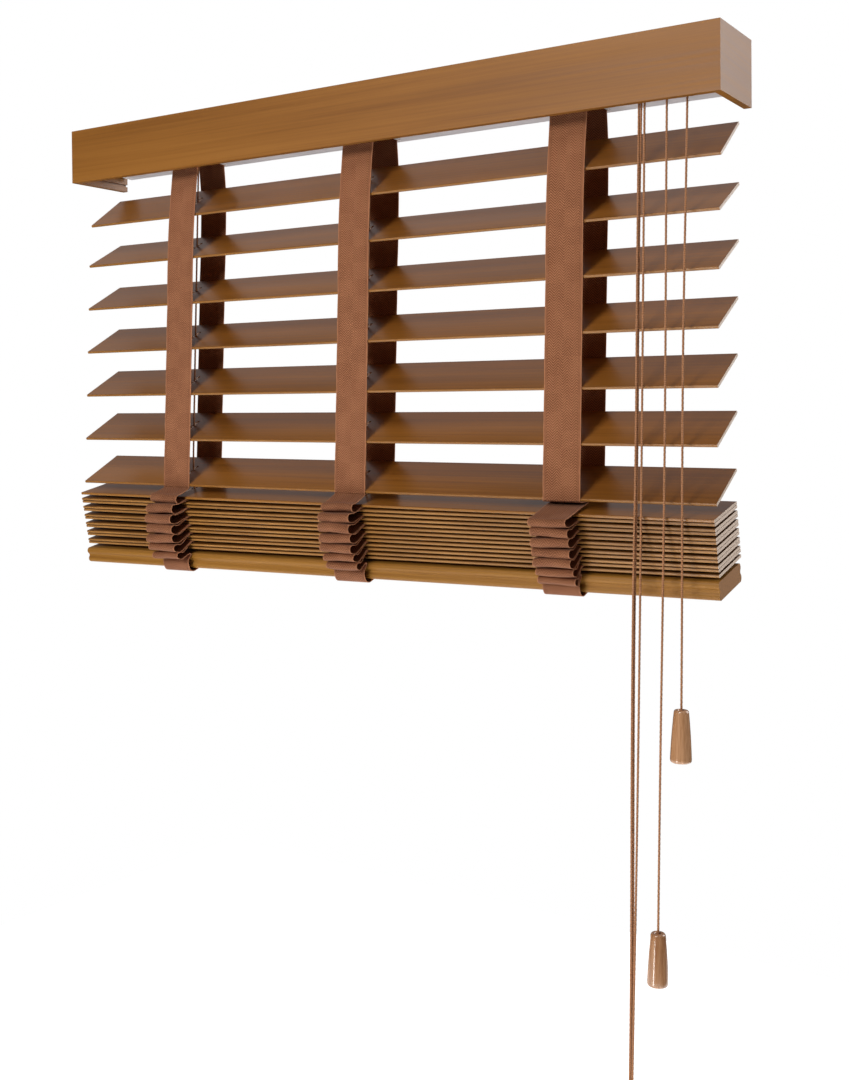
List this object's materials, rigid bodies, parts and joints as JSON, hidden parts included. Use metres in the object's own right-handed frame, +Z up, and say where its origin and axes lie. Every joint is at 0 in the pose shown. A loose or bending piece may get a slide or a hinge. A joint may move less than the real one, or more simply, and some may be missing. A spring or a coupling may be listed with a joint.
{
  "type": "venetian blind",
  "caption": "Wooden venetian blind with wide ladder tapes, part raised: tilted slats over a stack and bottom rail, valance, headrail, lift and tilt cords with tassels.",
  "frame": {"origin": "centre of the four ceiling-screw holes, on top of the two brackets", "axes": "+Z up, +X along the headrail towards the cords, -Y towards the room"},
  "size_m": [0.664, 0.0935, 0.8408],
  "materials": {
    "slat_wood": "satin lacquer",
    "rail_wood": "satin lacquer",
    "valance_wood": "satin lacquer",
    "tassel_wood": "satin lacquer",
    "ladder_tape": "herringbone weave",
    "pull_cord": "braided",
    "headrail_steel": "semi-matt enamel",
    "bracket_steel": "semi-matt enamel",
    "rod_steel": "zinc plated",
    "cradle_plastic": "moulded",
    "nylon": "moulded",
    "button_plastic": "moulded",
    "clip_steel": "spring steel"
  },
  "bodies": {
    "root": {"headrail": "headrail_steel", "bracket_left": "bracket_steel", "bracket_right": "bracket_steel", "valance_board": "valance_wood", "valance_return_left": "valance_wood", "valance_return_right": "valance_wood", "valance_clips": "clip_steel", "tape_cradles": "cradle_plastic", "tilter_housing": "bracket_steel", "cord_lock_body": "bracket_steel", "lift_cord_runs": "pull_cord"},
    "tilt_shaft": {"tilt_rod": "rod_steel", "tape_drums": "nylon", "worm_wheel": "nylon"},
    "worm": {"tilter_worm": "nylon"},
    "stack": {"bottom_rail": "rail_wood", "rail_buttons": "button_plastic", "slat_08": "slat_wood", "slat_09": "slat_wood", "slat_10": "slat_wood", "slat_11": "slat_wood", "slat_12": "slat_wood", "slat_13": "slat_wood", "slat_14": "slat_wood", "slat_15": "slat_wood", "slat_16": "slat_wood", "slat_17": "slat_wood", "slat_18": "slat_wood", "slat_19": "slat_wood", "slat_20": "slat_wood", "front_tape_folds": "ladder_tape", "rear_tape_folds": "ladder_tape"},
    "slat_07": {"slat_07": "slat_wood", "rungs_07": "ladder_tape"},
    "front_tape": {"front_tapes": "ladder_tape"},
    "rear_tape": {"rear_tapes": "ladder_tape"},
    "lift_pull": {"lift_tassel": "tassel_wood", "lift_cord_1": "pull_cord", "lift_cord_2": "pull_cord", "lift_cord_3": "pull_cord"},
    "tilt_pull_left": {"tilt_tassel_left": "tassel_wood", "tilt_cord_left": "pull_cord"},
    "tilt_pull_right": {"tilt_tassel_right": "tassel_wood", "tilt_cord_right": "pull_cord"},
    "lock_roller": {"cord_lock_roller": "rod_steel"},
    "lock_pin": {"cord_lock_pin": "rod_steel"},
    "ladder_01": {"rungs_01": "ladder_tape"},
    "slat_01": {"slat_01": "slat_wood"},
    "ladder_02": {"rungs_02": "ladder_tape"},
    "slat_02": {"slat_02": "slat_wood"},
    "ladder_03": {"rungs_03": "ladder_tape"},
    "slat_03": {"slat_03": "slat_wood"},
    "ladder_04": {"rungs_04": "ladder_tape"},
    "slat_04": {"slat_04": "slat_wood"},
    "ladder_05": {"rungs_05": "ladder_tape"},
    "slat_05": {"slat_05": "slat_wood"},
    "ladder_06": {"rungs_06": "ladder_tape"},
    "slat_06": {"slat_06": "slat_wood"}
  },
  "joints": [
    {"name": "tilt", "type": "hinge", "parent": "root", "child": "tilt_shaft", "pos_m": [0, 0, -0.0225], "axis": [1, 0, 0], "range_deg": [-87.6, 31]},
    {"name": "worm_turn", "type": "hinge", "parent": "root", "child": "worm", "pos_m": [0.2957, 0, -0.011], "axis": [0, 1, 0], "range_deg": [-310.5, 876.5]},
    {"name": "lift", "type": "slide", "parent": "root", "child": "stack", "axis": [0, 0, 1], "range_m": [0, 0.18], "deforming": ["front_tapes", "rear_tapes", "lift_cord_runs", "rungs_01", "rungs_02", "rungs_03", "rungs_04", "rungs_05", "rungs_06", "rungs_07"]},
    {"name": "ladder_01_lift", "type": "slide", "parent": "root", "child": "ladder_01", "axis": [0, 0, 1], "range_m": [-0.0002, 0.00959]},
    {"name": "slat_01_tilt", "type": "hinge", "parent": "ladder_01", "child": "slat_01", "pos_m": [0, 0, -0.0792], "axis": [1, 0, 0], "range_deg": [-55.43, 19.75]},
    {"name": "ladder_02_lift", "type": "slide", "parent": "root", "child": "ladder_02", "axis": [0, 0, 1], "range_m": [-0.0002, 0.03803]},
    {"name": "slat_02_tilt", "type": "hinge", "parent": "ladder_02", "child": "slat_02", "pos_m": [0, 0, -0.1222], "axis": [1, 0, 0], "range_deg": [-51.01, 18.18]},
    {"name": "ladder_03_lift", "type": "slide", "parent": "root", "child": "ladder_03", "axis": [0, 0, 1], "range_m": [-0.0002, 0.06646]},
    {"name": "slat_03_tilt", "type": "hinge", "parent": "ladder_03", "child": "slat_03", "pos_m": [0, 0, -0.1652], "axis": [1, 0, 0], "range_deg": [-51.01, 18.18]},
    {"name": "ladder_04_lift", "type": "slide", "parent": "root", "child": "ladder_04", "axis": [0, 0, 1], "range_m": [-0.0002, 0.09489]},
    {"name": "slat_04_tilt", "type": "hinge", "parent": "ladder_04", "child": "slat_04", "pos_m": [0, 0, -0.2082], "axis": [1, 0, 0], "range_deg": [-51.01, 18.18]},
    {"name": "ladder_05_lift", "type": "slide", "parent": "root", "child": "ladder_05", "axis": [0, 0, 1], "range_m": [-0.0002, 0.12333]},
    {"name": "slat_05_tilt", "type": "hinge", "parent": "ladder_05", "child": "slat_05", "pos_m": [0, 0, -0.2512], "axis": [1, 0, 0], "range_deg": [-51.01, 18.18]},
    {"name": "ladder_06_lift", "type": "slide", "parent": "root", "child": "ladder_06", "axis": [0, 0, 1], "range_m": [-0.0002, 0.15177]},
    {"name": "slat_06_tilt", "type": "hinge", "parent": "ladder_06", "child": "slat_06", "pos_m": [0, 0, -0.2942], "axis": [1, 0, 0], "range_deg": [-51.01, 18.18]},
    {"name": "slat_07_tilt", "type": "hinge", "parent": "stack", "child": "slat_07", "pos_m": [0, 0, -0.3372], "axis": [1, 0, 0], "range_deg": [-51.01, 18.18]},
    {"name": "front_tape_swing", "type": "hinge", "parent": "slat_07", "child": "front_tape", "pos_m": [0, -0.02145, -0.35004], "axis": [1, 0, 0], "range_deg": [-18.18, 51.01]},
    {"name": "rear_tape_swing", "type": "hinge", "parent": "slat_07", "child": "rear_tape", "pos_m": [0, 0.02145, -0.32436], "axis": [1, 0, 0], "range_deg": [-18.18, 51.01]},
    {"name": "lift_pull", "type": "slide", "parent": "root", "child": "lift_pull", "axis": [0, 0, 1], "range_m": [-0.1802, 0.0002]},
    {"name": "tilt_pull_left", "type": "slide", "parent": "root", "child": "tilt_pull_left", "axis": [0, 0, 1], "range_m": [-0.04378, 0.12281]},
    {"name": "tilt_pull_right", "type": "slide", "parent": "root", "child": "tilt_pull_right", "axis": [0, 0, 1], "range_m": [-0.12281, 0.04378]},
    {"name": "lock_roller_turn", "type": "hinge", "parent": "root", "child": "lock_roller", "pos_m": [0.268, -0.026, -0.0335], "axis": [1, 0, 0], "range_deg": [-1, 2516.42]},
    {"name": "lock_pin_slide", "type": "slide", "parent": "root", "child": "lock_pin", "axis": [0, 0.5, 0.866], "range_m": [0, 0.0034]}
  ],
  "couplings": [
    {"joint": "worm_turn", "follows": "tilt", "ratio": -10},
    {"joint": "ladder_01_lift", "follows": "lift", "ratio": 0.052168},
    {"joint": "slat_01_tilt", "follows": "tilt", "ratio": 0.6305},
    {"joint": "ladder_02_lift", "follows": "lift", "ratio": 0.21014},
    {"joint": "slat_02_tilt", "follows": "tilt", "ratio": 0.58},
    {"joint": "ladder_03_lift", "follows": "lift", "ratio": 0.36811},
    {"joint": "slat_03_tilt", "follows": "tilt", "ratio": 0.58},
    {"joint": "ladder_04_lift", "follows": "lift", "ratio": 0.52608},
    {"joint": "slat_04_tilt", "follows": "tilt", "ratio": 0.58},
    {"joint": "ladder_05_lift", "follows": "lift", "ratio": 0.68406},
    {"joint": "slat_05_tilt", "follows": "tilt", "ratio": 0.58},
    {"joint": "ladder_06_lift", "follows": "lift", "ratio": 0.84203},
    {"joint": "slat_06_tilt", "follows": "tilt", "ratio": 0.58},
    {"joint": "slat_07_tilt", "follows": "tilt", "ratio": 0.58},
    {"joint": "front_tape_swing", "follows": "tilt", "ratio": -0.58},
    {"joint": "rear_tape_swing", "follows": "tilt", "ratio": -0.58},
    {"joint": "lift_pull", "follows": "lift", "ratio": -1},
    {"joint": "tilt_pull_left", "follows": "tilt", "m_per_rad": -0.08},
    {"joint": "tilt_pull_right", "follows": "tilt", "m_per_rad": 0.08},
    {"joint": "lock_roller_turn", "follows": "lift", "rad_per_m": 243.9}
  ]
}
